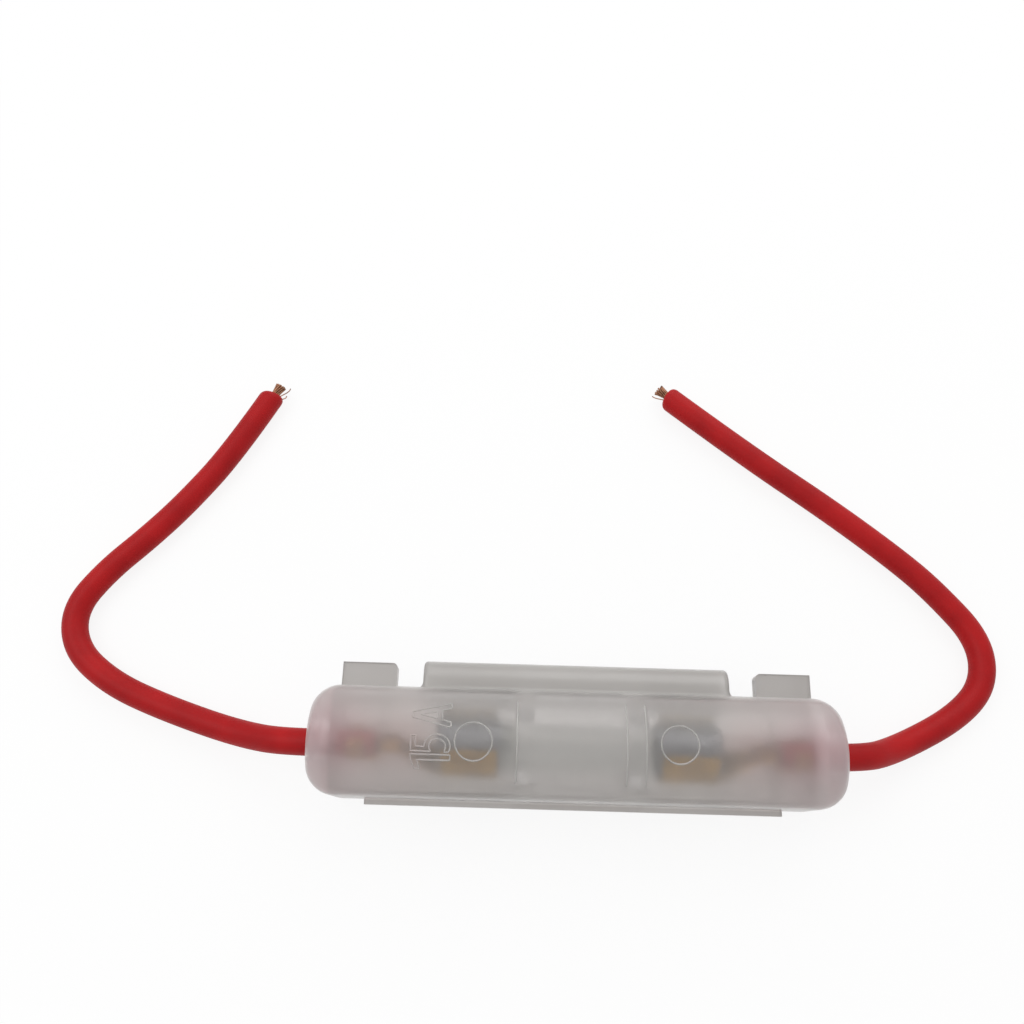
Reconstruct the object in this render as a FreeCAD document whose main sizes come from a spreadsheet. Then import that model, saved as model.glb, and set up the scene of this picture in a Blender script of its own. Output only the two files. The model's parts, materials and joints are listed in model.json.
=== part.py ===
# Inline fuse holder for a 6.3 x 32 mm glass fuse, in millimetres, +Z up.
# A translucent polypropylene clamshell closes over a glass fuse held in two brass terminals.
# A red insulated lead is crimped into each terminal and leaves through the end of the housing.
# X runs along the fuse, +Y points to the hinge side and -Y to the latch side.
# The holder lies with its deep, domed half up, on two cross feet under the shallow half.
# Each sub-part is modelled about the fuse axis at y = 0 and placed by axis_y, so that
# the origin lies at the bottom centre of the holder without its leads.

import FreeCAD
import Part
import Sketcher
import math
import os

from FreeCAD import Placement, Rotation, Vector

doc = FreeCAD.newDocument("inline_fuse_holder")

# Driving dimensions
SIZES = [
    ("body_width", 12.0),          # housing, hinge wall to latch wall
    ("base_height", 4.7),          # shallow half, outer face to split
    ("lid_height", 7.4),           # deep half, split to crown
    ("lid_side", 4.2),             # deep half, split to the foot of the arch
    ("wall", 1.2),                 # side walls of both halves
    ("base_floor", 1.0),
    ("lid_roof", 1.25),
    ("end_wall", 2.8),             # solid ends that grip the leads
    ("end_room", 0.9),             # from the insulation crimps to the end walls
    ("plan_radius", 3.4),          # corners seen from above
    ("base_edge", 1.5),            # rounding along the underside
    ("dome_radius", 3.1),          # rounding all round the edge of the dome
    ("cavity_radius", 0.6),        # inside corners of the shallow half
    ("split_gap", 0.1),            # between the two rims
    ("core_shift", 0.4),           # fuse and ribs sit a little to the right of centre
    ("foot_proud", 1.3),           # cross feet under the shallow half
    ("foot_thick", 1.8),
    ("foot_length", 9.0),
    ("foot_radius", 0.5),
    ("rib_thick", 2.15),           # cradle ribs round the glass
    ("rib_clear", 1.425),          # from the caps' mouths to the ribs
    ("rib_gap", 0.3),              # cradle ribs stop short of the split
    ("rib_grip", 0.15),            # clearance of the ribs round the glass
    ("saddle_reach", 7.15),        # low ribs between the two crimps
    ("saddle_thick", 0.7),
    ("saddle_grip", 0.15),
    ("saddle_drop", 0.5),
    ("tab_start", 20.9),           # tabs on the hinge side, from the housing's centre
    ("tab_length", 6.35),
    ("tab_proud", 3.2),
    ("tab_thick", 1.7),
    ("tab_corner", 0.6),
    ("tab_shift", 0.2),            # tabs sit a little to the right of centre
    ("lip_start", 23.45),          # strip on the latch side, left of centre
    ("lip_length", 46.7),
    ("lip_proud", 0.7),
    ("lip_thick", 1.2),
    ("notch_depth", 1.8),          # gaps in the rim between hinge and tabs
    ("hinge_length", 34.8),        # living hinge
    ("hinge_proud", 3.5),
    ("hinge_thick", 0.5),
    ("hinge_low", 2.2),            # root on the shallow half, below the split
    ("hinge_high", 2.6),           # root on the deep half, above the split
    ("hinge_corner", 1.0),
    ("cap_radius", 3.175),         # 6.35 mm fuse caps
    ("cap_length", 7.2),
    ("cap_skin", 0.25),
    ("cap_end", 0.35),
    ("cap_edge", 0.3),
    ("fuse_length", 31.8),
    ("glass_wall", 0.7),
    ("glass_fit", 0.02),           # cement line between cap and glass
    ("element_width", 1.5),
    ("element_neck", 0.7),
    ("element_neck_length", 9.0),
    ("element_thick", 0.16),
    ("brass", 0.4),                # terminal strip
    ("clip_fit", 0.02),
    ("clip_step", 0.5),            # the clips grip the caps short of both their ends
    ("clip_angle", 122.0),         # degrees either side of the clip's spine
    ("curl_radius", 0.9),          # flared lead-in along each prong
    ("curl_angle", 70.0),
    ("strip_angle", 36.0),
    ("neck_reach", 0.4),           # every reach counts outwards from the fuse's end
    ("core_crimp_reach", 4.3),
    ("core_crimp_length", 2.1),
    ("core_crimp_angle", 158.0),
    ("step_length", 0.55),
    ("skin_crimp_reach", 8.3),
    ("skin_crimp_length", 1.8),
    ("skin_crimp_angle", 156.0),
    ("crimp_strip_angle", 62.0),
    ("crimp_fit", 0.03),
    ("terminal_angle", 30.0),      # terminals lean to the latch side
    ("lead_radius", 1.55),         # red insulation, 3.1 mm across
    ("core_radius", 0.75),         # copper strands, 1.5 mm across
    ("core_fit", 0.05),
    ("lead_reach", 7.05),          # where the insulation begins
    ("core_reach", 4.0),
    ("bare_end", 1.8),             # bare copper past the insulation
    ("lead_hole_fit", 0.2),
]

sheet = doc.addObject("Spreadsheet::Sheet", "sizes")
for line_number, (alias, value) in enumerate(SIZES, start=1):
    sheet.set("A%d" % line_number, alias)
    sheet.set("B%d" % line_number, str(value))
    sheet.setAlias("B%d" % line_number, alias)
doc.recompute()


class Size:
    """A length or angle as its number and as the sheet expression that gives it."""

    def __init__(self, value, text):
        self.value = float(value)
        self.text = text

    def _join(self, other, sign, result):
        return Size(result, "(%s %s %s)" % (self.text, sign, other.text))

    def __add__(self, other):
        other = as_size(other)
        return self._join(other, "+", self.value + other.value)

    def __sub__(self, other):
        other = as_size(other)
        return self._join(other, "-", self.value - other.value)

    def __rsub__(self, other):
        return as_size(other) - self

    def __mul__(self, other):
        other = as_size(other)
        return self._join(other, "*", self.value * other.value)

    def __truediv__(self, other):
        other = as_size(other)
        return self._join(other, "/", self.value / other.value)

    def __neg__(self):
        return Size(-self.value, "(0 - %s)" % self.text)


def as_size(value):
    return value if isinstance(value, Size) else Size(value, repr(float(value)))


def size(alias):
    return Size(getattr(sheet, alias), "sizes.%s" % alias)


def sine(angle):
    return Size(math.sin(math.radians(angle.value)), "sin(%s * 1 deg)" % angle.text)


def cosine(angle):
    return Size(math.cos(math.radians(angle.value)), "cos(%s * 1 deg)" % angle.text)


# Places that several sub-parts share
ZERO = as_size(0.0)
PAST = as_size(1.0)                # how far a cut runs past the face that it enters
EMBED = as_size(0.4)               # how far an added rib or tab runs into its wall
fuse_end = size("fuse_length") / 2
clip_start = fuse_end - size("cap_length") + size("clip_step")
clip_end = fuse_end - size("clip_step")
crimps_end = fuse_end + size("skin_crimp_reach") + size("skin_crimp_length")
half_length = crimps_end + size("end_room") + size("end_wall")
half_width = size("body_width") / 2
inner_half = half_width - size("wall")
inner_length = (crimps_end + size("end_room")) * 2
split = size("foot_proud") + size("base_height")
floor_top = size("foot_proud") + size("base_floor")
shift = size("core_shift")
axis_y = (size("lip_proud") - size("hinge_proud")) / 2
glass_radius = size("cap_radius") - size("cap_skin") - size("glass_fit")
cradle_radius = glass_radius + size("rib_grip")
lead_hole = size("lead_radius") + size("lead_hole_fit")
rib_place = fuse_end - size("cap_length") - size("rib_clear") - size("rib_thick") / 2
rib_left = shift - rib_place
rib_right = shift + rib_place


def bind(thing, prop, amount):
    setattr(thing, prop, amount.value)
    thing.setExpression(prop, amount.text)


def new_body(label):
    body = doc.addObject("PartDesign::Body", label)
    body.Label = label
    return body


def place(thing, x, z, roll=0.0, turn=0.0):
    """Puts a sub-part at (x, axis_y, z), first turned about Z and then rolled about X."""
    rotation = Rotation(Vector(1, 0, 0), -roll).multiply(Rotation(Vector(0, 0, 1), turn))
    thing.Placement = Placement(Vector(x.value, axis_y.value, z.value), rotation)
    thing.setExpression(".Placement.Base.x", x.text)
    thing.setExpression(".Placement.Base.y", axis_y.text)
    thing.setExpression(".Placement.Base.z", z.text)


def new_sketch(body, name, plane, offset=ZERO):
    """An empty sketch on one of the body's own origin planes, moved along its normal."""
    sketch = body.newObject("Sketcher::SketchObject", name)
    origin_plane = [item for item in body.Origin.OriginFeatures if item.Role == plane][0]
    sketch.AttachmentSupport = (origin_plane, "")
    sketch.MapMode = "FlatFace"
    sketch.AttachmentOffset = Placement(Vector(0, 0, offset.value), Rotation())
    sketch.setExpression(".AttachmentOffset.Base.z", offset.text)
    return sketch


def dimension(sketch, kind, references, amount):
    index = sketch.addConstraint(Sketcher.Constraint(kind, *references, amount.value))
    sketch.setExpression("Constraints[%d]" % index, amount.text)


def outline(sketch, points, arcs=None):
    """A closed outline through points; arcs maps an edge to (centre, turn, fixed coordinate)."""
    arcs = arcs or {}
    count = len(points)
    first = sketch.GeometryCount
    for edge in range(count):
        start = Vector(points[edge][0].value, points[edge][1].value, 0)
        end = Vector(points[(edge + 1) % count][0].value, points[(edge + 1) % count][1].value, 0)
        if edge not in arcs:
            sketch.addGeometry(Part.LineSegment(start, end), False)
            continue
        centre = Vector(arcs[edge][0][0].value, arcs[edge][0][1].value, 0)
        radius = (start - centre).Length
        first_angle = math.atan2(start.y - centre.y, start.x - centre.x)
        last_angle = math.atan2(end.y - centre.y, end.x - centre.x)
        if arcs[edge][1] == "clockwise":
            first_angle, last_angle = last_angle, first_angle
        circle = Part.Circle(centre, Vector(0, 0, 1), radius)
        sketch.addGeometry(Part.ArcOfCircle(circle, first_angle, last_angle), False)

    def ends(edge):
        clockwise = edge in arcs and arcs[edge][1] == "clockwise"
        return (2, 1) if clockwise else (1, 2)

    for edge in range(count):
        following = (edge + 1) % count
        joint = ["Coincident", first + edge, ends(edge)[1], first + following, ends(following)[0]]
        sketch.addConstraint(Sketcher.Constraint(*joint))
    for edge in range(count):
        corner = (-1, 1, first + edge, ends(edge)[0])
        dimension(sketch, "DistanceX", corner, points[edge][0])
        dimension(sketch, "DistanceY", corner, points[edge][1])
    for edge, (centre, _, fixed) in arcs.items():
        middle = (-1, 1, first + edge, 3)
        if fixed == "x":
            dimension(sketch, "DistanceX", middle, centre[0])
        else:
            dimension(sketch, "DistanceY", middle, centre[1])


def rectangle(sketch, left, bottom, right, top):
    outline(sketch, [(left, bottom), (right, bottom), (right, top), (left, top)])


def ring(sketch, x, y, radius):
    index = sketch.addGeometry(Part.Circle(Vector(x.value, y.value, 0), Vector(0, 0, 1), radius.value))
    dimension(sketch, "DistanceX", (-1, 1, index, 3), x)
    dimension(sketch, "DistanceY", (-1, 1, index, 3), y)
    dimension(sketch, "Radius", (index,), radius)


def sector(sketch, inner, outer, wrap):
    """A bent strip about the origin, wrap degrees either side of straight down."""
    across, down = sine(wrap), -cosine(wrap)
    points = [
        (-(outer * across), outer * down), (outer * across, outer * down),
        (inner * across, inner * down), (-(inner * across), inner * down),
    ]
    outline(sketch, points, {
        0: ((ZERO, ZERO), "anticlockwise", "y"),
        2: ((ZERO, ZERO), "clockwise", "y"),
    })


def pad(body, name, sketch, length, symmetric=False):
    feature = body.newObject("PartDesign::Pad", name)
    feature.Profile = sketch
    if symmetric:
        feature.SideType = "Symmetric"
    bind(feature, "Length", length)
    return feature


def pocket(body, name, sketch, length, symmetric=False):
    """Cuts towards the sketch's back, or both ways; the cut has to take material away."""
    doc.recompute()
    before = body.Shape.Volume
    feature = body.newObject("PartDesign::Pocket", name)
    feature.Profile = sketch
    if symmetric:
        feature.SideType = "Symmetric"
    bind(feature, "Length", length)
    doc.recompute()
    if not body.Shape.Volume < before - 1e-6:
        raise RuntimeError("%s cuts nothing" % name)
    return feature


def loft(body, name, first, last):
    feature = body.newObject("PartDesign::AdditiveLoft", name)
    feature.Profile = first
    feature.Sections = [last]
    feature.Ruled = True
    return feature


def revolve(body, name, sketch):
    feature = body.newObject("PartDesign::Revolution", name)
    feature.Profile = sketch
    feature.ReferenceAxis = (sketch, ["H_Axis"])
    feature.Angle = 360.0
    return feature


def fillet(body, name, radius, wanted):
    """Rounds each edge of the body's tip that wanted(edge) accepts."""
    doc.recompute()
    base = body.Tip
    edges = base.Shape.Edges
    names = ["Edge%d" % (i + 1) for i, edge in enumerate(edges) if wanted(edge)]
    if not names:
        raise RuntimeError("%s finds no edge" % name)
    feature = body.newObject("PartDesign::Fillet", name)
    feature.Base = (base, names)
    bind(feature, "Radius", radius)
    doc.recompute()
    return feature


def spans(edge, axis, places):
    """True where both ends of the edge, and its middle, lie at one of the places along axis."""
    middle = edge.valueAt((edge.FirstParameter + edge.LastParameter) / 2)
    marks = [getattr(vertex.Point, axis) for vertex in edge.Vertexes] + [getattr(middle, axis)]
    return any(all(abs(mark - where) < 1e-4 for mark in marks) for where in places)


def runs_along(edge, axis):
    if len(edge.Vertexes) < 2:
        return False
    step = edge.Vertexes[1].Point - edge.Vertexes[0].Point
    others = [name for name in ("x", "y", "z") if name != axis]
    straight = abs(edge.Length - step.Length) < 1e-6
    return straight and all(abs(getattr(step, name)) < 1e-6 for name in others)


def arch(sketch, half, bottom, side, top):
    """The lid's section: straight sides, closed by one arc over the crown."""
    rise = top - side
    radius = (half * half + rise * rise) / (rise * 2)
    points = [(-half, bottom), (half, bottom), (half, side), (-half, side)]
    outline(sketch, points, {2: ((ZERO, top - radius), "anticlockwise", "y")})


def cut_corners(body, name, half_x, half_y, radius, top):
    """Cuts the upright corners of a housing half to a radius, from the plane at top down."""
    plan = new_sketch(body, name + "_plan", "XY_Plane", top)
    for across in (-1.0, 1.0):
        for along in (-1.0, 1.0):
            bend_x, bend_y = (half_x - radius) * along, (half_y - radius) * across
            out_x, out_y = (half_x + PAST) * along, (half_y + PAST) * across
            points = [
                (bend_x, half_y * across), (bend_x, out_y), (out_x, out_y),
                (out_x, bend_y), (half_x * along, bend_y),
            ]
            turn = "anticlockwise" if across * along > 0 else "clockwise"
            outline(plan, points, {4: ((bend_x, bend_y), turn, "x")})
    pocket(body, name, plan, top + PAST)


def lead_holes(body, name):
    """Bores both end walls for the leads."""
    hole = new_sketch(body, name + "_circle", "YZ_Plane")
    ring(hole, ZERO, split, lead_hole)
    pocket(body, name, hole, (half_length + PAST) * 2, symmetric=True)


def cradle_cut(body, name):
    """Cuts the seat of the glass through both cradle ribs."""
    seat = new_sketch(body, name + "_circle", "YZ_Plane", shift)
    ring(seat, ZERO, split, cradle_radius)
    reach = rib_place + size("rib_thick") / 2 + size("rib_clear") / 2
    pocket(body, name, seat, reach * 2, symmetric=True)


def build_base():
    """The shallow half: tray, feet, ribs, saddles, tabs, lip and rim notches."""
    body = new_body("housing_base")
    underside = size("foot_proud")
    plan = new_sketch(body, "tray_plan", "XY_Plane", underside)
    rectangle(plan, -half_length, -half_width, half_length, half_width)
    pad(body, "tray", plan, size("base_height"))
    cut_corners(body, "tray_corners", half_length, half_width, size("plan_radius"), split + PAST)
    fillet(body, "tray_underside", size("base_edge"),
           lambda edge: spans(edge, "z", (underside.value,)))

    room = new_sketch(body, "tray_room_plan", "XY_Plane", split)
    rectangle(room, -inner_length / 2, -inner_half, inner_length / 2, inner_half)
    pocket(body, "tray_room", room, size("base_height") - size("base_floor"))
    fillet(body, "tray_room_corners", size("cavity_radius"),
           lambda edge: spans(edge, "z", (floor_top.value,)))
    lead_holes(body, "lead_hole")

    for side, place_x in (("left", rib_left), ("right", rib_right)):
        rib = new_sketch(body, "rib_%s_section" % side, "YZ_Plane", place_x)
        rectangle(rib, -(inner_half + EMBED), floor_top - EMBED, inner_half + EMBED,
                  split - size("rib_gap"))
        pad(body, "rib_%s" % side, rib, size("rib_thick"), symmetric=True)
    cradle_cut(body, "cradle")

    saddle_radius = size("lead_radius") + size("crimp_fit") + size("brass") + size("saddle_grip")
    saddle_place = fuse_end + size("saddle_reach")
    for side, place_x in (("left", shift - saddle_place), ("right", shift + saddle_place)):
        block = new_sketch(body, "saddle_%s_section" % side, "YZ_Plane", place_x)
        rectangle(block, -(inner_half + EMBED), floor_top - EMBED, inner_half + EMBED,
                  split - size("saddle_drop"))
        pad(body, "saddle_%s" % side, block, size("saddle_thick"), symmetric=True)
        seat = new_sketch(body, "saddle_%s_circle" % side, "YZ_Plane", place_x)
        ring(seat, ZERO, split, saddle_radius)
        pocket(body, "saddle_%s_seat" % side, seat, size("saddle_thick") * 1.5, symmetric=True)

    tabs = new_sketch(body, "tab_plan", "XY_Plane", split - size("tab_thick"))
    tab_left = size("tab_shift") - size("tab_start")
    tab_right = size("tab_shift") + size("tab_start")
    tab_tip = half_width + size("tab_proud")
    rectangle(tabs, tab_left - size("tab_length"), half_width - EMBED, tab_left, tab_tip)
    rectangle(tabs, tab_right, half_width - EMBED, tab_right + size("tab_length"), tab_tip)
    pad(body, "tabs", tabs, size("tab_thick"))
    inner_ends = (tab_left.value, tab_right.value)
    fillet(body, "tab_corners", size("tab_corner"),
           lambda edge: runs_along(edge, "z") and spans(edge, "y", (tab_tip.value,))
           and spans(edge, "x", inner_ends))

    lip = new_sketch(body, "lip_plan", "XY_Plane", split - size("lip_thick"))
    rectangle(lip, -size("lip_start"), -(half_width + size("lip_proud")),
              size("lip_length") - size("lip_start"), -(half_width - EMBED))
    pad(body, "lip", lip, size("lip_thick"))

    notches = new_sketch(body, "notch_plan", "XY_Plane", split)
    hinge_end = size("hinge_length") / 2
    rectangle(notches, tab_left, inner_half - EMBED, -hinge_end, half_width + PAST)
    rectangle(notches, hinge_end, inner_half - EMBED, tab_right, half_width + PAST)
    pocket(body, "notches", notches, size("notch_depth"))

    feet = new_sketch(body, "feet_plan", "XY_Plane")
    half_foot = size("foot_thick") / 2
    reach = size("foot_length") / 2
    for middle in (rib_left, rib_right):
        rectangle(feet, middle - half_foot, -reach, middle + half_foot, reach)
    pad(body, "feet", feet, size("foot_proud") + EMBED)
    outer_sides = ((rib_left - half_foot).value, (rib_right + half_foot).value)
    fillet(body, "feet_edges", size("foot_radius"),
           lambda edge: runs_along(edge, "y") and spans(edge, "z", (0.0,))
           and spans(edge, "x", outer_sides))
    place(body, ZERO, ZERO)
    return body


def build_lid():
    """The deep half: an arched cover with two cradle ribs inside."""
    body = new_body("housing_lid")
    rim = split + size("split_gap")
    side_top = split + size("lid_side")
    crown = split + size("lid_height")
    section = new_sketch(body, "arch_section", "YZ_Plane")
    arch(section, half_width, rim, side_top, crown)
    pad(body, "arch", section, half_length * 2, symmetric=True)
    cut_corners(body, "arch_corners", half_length, half_width, size("plan_radius"), crown + PAST)
    fillet(body, "dome_edge", size("dome_radius"),
           lambda edge: not spans(edge, "z", (rim.value,)) and not runs_along(edge, "z"))

    room = new_sketch(body, "arch_room_section", "YZ_Plane")
    inner_side = side_top - size("lid_roof") / 2
    inner_crown = crown - size("lid_roof")
    arch(room, inner_half, rim - PAST, inner_side, inner_crown)
    pocket(body, "arch_room", room, inner_length, symmetric=True)
    lead_holes(body, "lead_hole_top")

    for side, place_x in (("left", rib_left), ("right", rib_right)):
        rib = new_sketch(body, "cradle_rib_%s_section" % side, "YZ_Plane", place_x)
        arch(rib, inner_half + EMBED, split + size("rib_gap"), inner_side, inner_crown + EMBED)
        pad(body, "cradle_rib_%s" % side, rib, size("rib_thick"), symmetric=True)
    cradle_cut(body, "cradle_top")
    place(body, ZERO, ZERO)
    return body


def build_hinge():
    """The living hinge: a thin strip that loops out from one half and back to the other."""
    body = new_body("hinge_web")
    outer = (size("hinge_low") + size("hinge_high")) / 2
    inner = outer - size("hinge_thick")
    middle_z = split + (size("hinge_high") - size("hinge_low")) / 2
    bend_y = half_width + size("hinge_proud") - outer
    section = new_sketch(body, "web_section", "YZ_Plane")
    points = [
        (half_width, middle_z - outer), (bend_y, middle_z - outer),
        (bend_y, middle_z + outer), (half_width, middle_z + outer),
        (half_width, middle_z + inner), (bend_y, middle_z + inner),
        (bend_y, middle_z - inner), (half_width, middle_z - inner),
    ]
    outline(section, points, {
        1: ((bend_y, middle_z), "anticlockwise", "x"),
        5: ((bend_y, middle_z), "clockwise", "x"),
    })
    pad(body, "web", section, size("hinge_length"), symmetric=True)

    corners = new_sketch(body, "web_corner_plan", "XY_Plane", middle_z + outer + PAST)
    tip = half_width + size("hinge_proud")
    end = size("hinge_length") / 2
    cut = size("hinge_corner")
    for sign in (-1.0, 1.0):
        points = [
            ((end - cut) * sign, tip), ((end - cut) * sign, tip + PAST),
            ((end + PAST) * sign, tip + PAST), ((end + PAST) * sign, tip - cut),
            (end * sign, tip - cut),
        ]
        turn = "anticlockwise" if sign > 0 else "clockwise"
        outline(corners, points, {4: (((end - cut) * sign, tip - cut), turn, "x")})
    pocket(body, "web_corners", corners, (outer + PAST) * 2)
    place(body, ZERO, ZERO)
    return body


def clip_outline(sketch, inner, outer, wrap, curl, sweep):
    """The fuse clip's section: a spring arc whose two prongs end in lips curled outwards."""
    thick = outer - inner
    near, far = curl - thick / 2, curl + thick / 2
    middle = inner + thick / 2
    reach = middle + curl

    def polar(centre, radius, across, down):
        return (centre[0] + radius * across, centre[1] + radius * down)

    heart = (ZERO, ZERO)
    right = (reach * sine(wrap), -(reach * cosine(wrap)))
    left = (-right[0], right[1])
    # The lip turns about a centre outside the prong, from the prong's end away from the fuse
    opened = wrap - sweep
    tip_across, tip_down = -sine(opened), cosine(opened)
    points = [
        polar(heart, outer, -sine(wrap), -cosine(wrap)),
        polar(heart, outer, sine(wrap), -cosine(wrap)),
        polar(right, near, tip_across, tip_down),
        polar(right, far, tip_across, tip_down),
        polar(heart, inner, sine(wrap), -cosine(wrap)),
        polar(heart, inner, -sine(wrap), -cosine(wrap)),
        polar(left, far, -tip_across, tip_down),
        polar(left, near, -tip_across, tip_down),
    ]
    outline(sketch, points, {
        0: (heart, "anticlockwise", "y"),
        1: (right, "clockwise", "x"),
        3: (right, "anticlockwise", "x"),
        4: (heart, "clockwise", "y"),
        5: (left, "anticlockwise", "x"),
        7: (left, "clockwise", "x"),
    })


def build_terminal(label, turn):
    """One stamped brass terminal: fuse clip, tapered neck, core crimp and insulation crimp."""
    body = new_body(label)
    brass = size("brass")
    clip = size("cap_radius") + size("clip_fit")
    core = size("core_radius") + size("crimp_fit")
    skin = size("lead_radius") + size("crimp_fit")
    neck_start = fuse_end + size("neck_reach")
    core_crimp_start = fuse_end + size("core_crimp_reach")
    skin_crimp_start = fuse_end + size("skin_crimp_reach")
    core_crimp_end = core_crimp_start + size("core_crimp_length")
    step_end = core_crimp_end + size("step_length")

    prongs = new_sketch(body, label + "_clip_section", "YZ_Plane", clip_start)
    clip_outline(prongs, clip, clip + brass, size("clip_angle"), size("curl_radius"),
                 size("curl_angle"))
    pad(body, label + "_clip", prongs, clip_end - clip_start)

    def strip(name, place_x, radius, wrap):
        section = new_sketch(body, "%s_%s_section" % (label, name), "YZ_Plane", place_x)
        sector(section, radius, radius + brass, wrap)
        return section

    spine = strip("spine", clip_start, clip, size("strip_angle"))
    pad(body, label + "_spine", spine, neck_start - clip_start)
    wide = strip("neck_wide", neck_start, clip, size("strip_angle"))
    narrow = strip("neck_narrow", core_crimp_start, core, size("crimp_strip_angle"))
    loft(body, label + "_neck", wide, narrow)
    barrel = strip("core_crimp", core_crimp_start, core, size("core_crimp_angle"))
    pad(body, label + "_core_crimp", barrel, size("core_crimp_length"))
    low = strip("step_low", core_crimp_end, core, size("crimp_strip_angle"))
    high = strip("step_high", step_end, skin, size("crimp_strip_angle"))
    loft(body, label + "_step", low, high)
    link = strip("link", step_end, skin, size("crimp_strip_angle"))
    pad(body, label + "_link", link, skin_crimp_start - step_end)
    sleeve = strip("skin_crimp", skin_crimp_start, skin, size("skin_crimp_angle"))
    pad(body, label + "_skin_crimp", sleeve, size("skin_crimp_length"))
    place(body, shift, split, roll=size("terminal_angle").value, turn=turn)
    return body


def build_glass():
    """The fuse's glass tube."""
    body = new_body("fuse_glass")
    section = new_sketch(body, "glass_section", "XZ_Plane")
    end = fuse_end - size("cap_end") - size("glass_fit")
    rectangle(section, -end, glass_radius - size("glass_wall"), end, glass_radius)
    revolve(body, "glass", section)
    place(body, shift, split)
    return body


def build_cap(label, turn):
    """A nickel-plated cup pushed over one end of the glass."""
    body = new_body(label)
    mouth = fuse_end - size("cap_length")
    bore = size("cap_radius") - size("cap_skin")
    section = new_sketch(body, label + "_section", "XZ_Plane")
    points = [
        (mouth, bore), (fuse_end - size("cap_end"), bore), (fuse_end - size("cap_end"), ZERO),
        (fuse_end, ZERO), (fuse_end, size("cap_radius")), (mouth, size("cap_radius")),
    ]
    outline(section, points)
    revolve(body, label + "_cup", section)
    fillet(body, label + "_edge", size("cap_edge"),
           lambda edge: spans(edge, "x", (fuse_end.value,)) and edge.Length > 1.0)
    place(body, shift, split, turn=turn)
    return body


def build_element():
    """The fuse strip, waisted in the middle, from cap to cap."""
    body = new_body("fuse_element")
    end = fuse_end - size("cap_end")
    waist = size("element_neck_length") / 2
    shoulder = waist + size("element_width")
    wide = size("element_width") / 2
    thin = size("element_neck") / 2
    half = [(end, wide), (shoulder, wide), (waist, thin)]
    upper = half + [(-x, y) for x, y in reversed(half)]
    lower = [(x, -y) for x, y in reversed(upper)]
    plan = new_sketch(body, "element_plan", "XY_Plane")
    outline(plan, upper + lower)
    pad(body, "element", plan, size("element_thick"), symmetric=True)
    place(body, shift, split)
    return body


# Routes of the leads, chosen by hand: x, y from the fuse axis, and height over the bench.
# The first two points of each take the height of the split, where the lead leaves the housing.
LEAD_HEIGHT = 1.6
LEFT_ROUTE = [
    (-22.5, 0.0), (-32.0, 0.0), (-40.4, 1.2, 2.6), (-49.0, 3.4), (-56.1, 5.8), (-60.0, 10.1),
    (-61.3, 15.6), (-59.8, 21.0), (-55.4, 25.4), (-50.0, 30.2), (-45.2, 37.0), (-40.4, 45.2),
]
RIGHT_ROUTE = [
    (23.3, 0.0), (32.3, 0.0), (40.0, 1.6, 2.8), (46.2, 4.6), (49.8, 9.5), (50.4, 15.5),
    (47.7, 21.0), (41.6, 24.9), (33.3, 31.3), (22.6, 38.8), (12.4, 46.6),
]


def route_points(route, start_x):
    """The route as vectors, beginning at start_x on the fuse axis."""
    points = []
    for number, place_xyz in enumerate(route):
        height = place_xyz[2] if len(place_xyz) > 2 else LEAD_HEIGHT
        if number < 2:
            height = split.value
        points.append(Vector(place_xyz[0], place_xyz[1], height))
    points[0].x = start_x
    return points


def rounded_path(points):
    """Straight runs joined by tangent arcs, each as large as its two runs allow."""
    edges = []
    radii = []
    here = points[0]
    for before, corner, after in zip(points, points[1:], points[2:]):
        coming, going = corner - before, after - corner
        reach = 0.45 * min(coming.Length, going.Length)
        half_turn = coming.getAngle(going) / 2
        radii.append(reach / math.tan(half_turn))
        start = corner - coming.normalize() * reach
        end = corner + going.normalize() * reach
        sagitta = radii[-1] * (1 / math.cos(half_turn) - 1)
        middle = corner + ((start + end) / 2 - corner).normalize() * sagitta
        edges.append(Part.LineSegment(here, start).toShape())
        edges.append(Part.Arc(start, middle, end).toShape())
        here = end
    edges.append(Part.LineSegment(here, points[-1]).toShape())
    return Part.Wire(edges), radii


def swept(path, radius):
    """A round rod along the path, compared with its section times its length."""
    start = path.Vertexes[0].Point
    heading = path.Edges[0].tangentAt(path.Edges[0].FirstParameter)
    profile = Part.Wire([Part.Circle(start, heading, radius).toShape()])
    rod = path.makePipeShell([profile], True, True)
    expected = math.pi * radius ** 2 * path.Length
    if abs(rod.Volume / expected - 1) > 0.01:
        raise RuntimeError("a swept lead has the wrong volume")
    return rod


def build_lead(side, route, direction):
    """The insulation as a tube, and the copper core that runs through it and out of both ends."""
    skin_start = shift + (fuse_end + size("lead_reach")) * direction
    skin_points = route_points(route, skin_start.value)
    skin_path, radii = rounded_path(skin_points)
    print("lead_%s: length %.1f, radii %s" % (side, skin_path.Length, [round(r, 1) for r in radii]))

    core_start = shift + (fuse_end + size("core_reach")) * direction
    core_points = route_points(route, core_start.value)
    ending = (core_points[-1] - core_points[-2]).normalize() * size("bare_end").value
    core_path, _ = rounded_path(core_points)
    stub = Part.LineSegment(core_points[-1], core_points[-1] + ending).toShape()
    core_path = Part.Wire(core_path.Edges + [stub])

    skin = doc.addObject("Part::Feature", "insulation_%s" % side)
    skin.Label = "insulation_%s" % side
    bore = swept(skin_path, size("core_radius").value + size("core_fit").value)
    skin.Shape = swept(skin_path, size("lead_radius").value).cut(bore)
    core = doc.addObject("Part::Feature", "conductor_%s" % side)
    core.Label = "conductor_%s" % side
    core.Shape = swept(core_path, size("core_radius").value)
    for piece in (skin, core):
        piece.Placement = Placement(Vector(0, axis_y.value, 0), Rotation())
    return [skin, core]


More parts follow.
